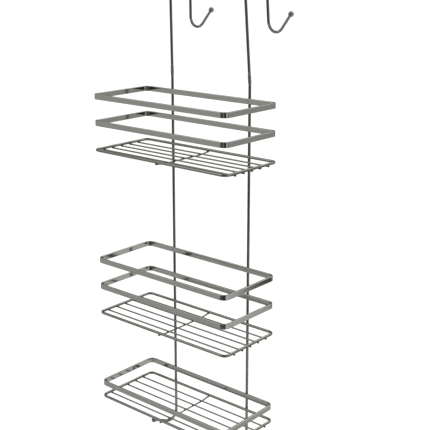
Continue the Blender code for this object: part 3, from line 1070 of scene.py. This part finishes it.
def ball_profile():
    """Half the section of a ball tip, from the top of the ball to the bottom of its socket."""
    bore = ROD_RADIUS + SOCKET_GAP
    collar = ROD_RADIUS + COLLAR_WALL
    mouth = math.acos((collar + COLLAR_FILLET) / BALL_RADIUS)
    ball = arc((0.0, 0.0), BALL_RADIUS, math.pi / 2, -mouth, 20)
    foot = ball[-1][1] - NECK_RISE
    ball[0] = (0.0, BALL_RADIUS)
    return ball + [(collar, foot + NECK_RISE / 2), (collar - EDGE_BREAK, foot + EDGE_BREAK),
                   (bore + MOUTH_BEVEL, foot), (bore, foot + MOUTH_BEVEL), (bore, -EDGE_BREAK),
                   (0.0, -EDGE_BREAK)]


def add_ball(name, node, direction, body):
    """Turns one ball, sets it on the end of its rod and points it along the rod."""
    mesh = lathe(ball_profile(), axes_at(centre_of(node), direction), finishes["ball_tip_chrome"])
    add_piece(name, mesh, body, [node])


for side in SIDES:
    foot_way = Vector((0, -math.cos(FOOT_HOOK_ANGLE), math.sin(FOOT_HOOK_ANGLE)))
    towel_way = Vector((0, math.cos(TOWEL_HOOK_ANGLE), math.sin(TOWEL_HOOK_ANGLE)))
    add_ball(side + "_foot_ball", side + "_upright_ball_tip", foot_way, "frame")
    add_ball(side + "_towel_ball", side + "_hook_arm_ball_tip", arm_frame(side).to_3x3() @ towel_way,
             side + "_arm")

# %% [markdown]
# A sleeve is a short tube with chamfered ends and two fine grooves, bored through for the two studs. Its
# profile is closed, so the spin gives a tube with walls.

# %% Turn the two joint sleeves
SLEEVE_RADIUS = 0.0025
SLEEVE_BORE = 0.0016
CHAMFER = 0.0003
GROOVE = 0.00018


def sleeve_profile():
    """Half the section of a sleeve, closed, from the top of the bore and back to it."""
    r, top = SLEEVE_RADIUS, SLEEVE_LENGTH
    grooves = []
    for height in (0.8 * top, 0.2 * top):
        grooves += [(r, height + 2 * GROOVE), (r - GROOVE, height + GROOVE), (r - GROOVE, height - GROOVE),
                    (r, height - 2 * GROOVE)]
    outside = [(r - CHAMFER, top), (r, top - CHAMFER), *grooves, (r, CHAMFER), (r - CHAMFER, 0.0)]
    return [(SLEEVE_BORE, top), *outside, (SLEEVE_BORE, 0.0), (SLEEVE_BORE, top)]


for side in SIDES:
    mesh = lathe(sleeve_profile(), arm_frame(side), finishes["joint_sleeve_chrome"])
    add_piece(side + "_screw_sleeve", mesh, "frame", [side + "_joint_sleeve"])

# %% [markdown]
# ## Weld beads
#
# Sixty-odd beads are the same lump with different sizes, so they are instances of one small sphere on the
# weld points. Noise then pushes the surface in and out a little, because no weld is a perfect ellipsoid.

# %% Tree: a bead on every weld point
bead_tree, given, result = new_group(
    "weld_beads", "GeometryNodeTree",
    [("Points", "Geometry", None), ("Unevenness", "Float", 0.0002), ("Noise Scale", "Float", 900.0),
     ("Seed", "Float", 3.0), ("Material", "Material", None)], [("Geometry", "Geometry")])
lump = put(bead_tree, "GeometryNodeMeshIcoSphere", {"Radius": 1.0, "Subdivisions": 3}).outputs[0]
sizes = put(bead_tree, "GeometryNodeInputNamedAttribute", {"Name": "bead_size"}, data_type="FLOAT_VECTOR")
cloud = put(bead_tree, "GeometryNodeMeshToPoints", {"Mesh": given.outputs["Points"]}).outputs[0]
beads = put(bead_tree, "GeometryNodeInstanceOnPoints",
            {"Points": cloud, "Instance": lump, "Scale": sizes.outputs[0]}).outputs[0]
real = put(bead_tree, "GeometryNodeRealizeInstances", {"Geometry": beads}).outputs[0]
noise = put(bead_tree, "ShaderNodeTexNoise",
            {"W": given.outputs["Seed"], "Scale": given.outputs["Noise Scale"], "Detail": 1.0},
            noise_dimensions="4D").outputs[0]
push = maths(bead_tree, "MULTIPLY", maths(bead_tree, "SUBTRACT", noise, 0.5), given.outputs["Unevenness"])
push = maths(bead_tree, "MULTIPLY", push, 2.0)
normal = put(bead_tree, "GeometryNodeInputNormal").outputs[0]
offset = put(bead_tree, "ShaderNodeVectorMath", {0: normal, "Scale": push}, operation="SCALE").outputs[0]
pushed = put(bead_tree, "GeometryNodeSetPosition", {"Geometry": real, "Offset": offset}).outputs[0]
smooth = put(bead_tree, "GeometryNodeSetShadeSmooth", {"Geometry": pushed}).outputs[0]
plated = put(bead_tree, "GeometryNodeSetMaterial",
             {"Geometry": smooth, "Material": given.outputs["Material"]})
bead_tree.links.new(plated.outputs[0], result.inputs[0])
print("bead tree:", len(bead_tree.nodes), "nodes")

# %% [markdown]
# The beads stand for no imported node, because there the weld is only a gap. They ride with the frame like
# the pieces they join.

# %% Set the beads of each tier
for tier in TIERS:
    mesh = made_by(bead_tree, heat_points[tier], {"Material": weld_metal})
    add_piece(tier + "_weld_beads", mesh, "frame", [])
bpy.data.objects.remove(all_heat_points)

# %% [markdown]
# ## Last checks
#
# The finished model must fill the same box as the imported one, because everything that hangs on it or stands
# in it is planned from that box. So the box of the finished model is measured and printed.

# %% Measure the box of the finished model
low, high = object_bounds()
print("visual model:", [round(1000 * s, 1) for s in high - low], "mm")
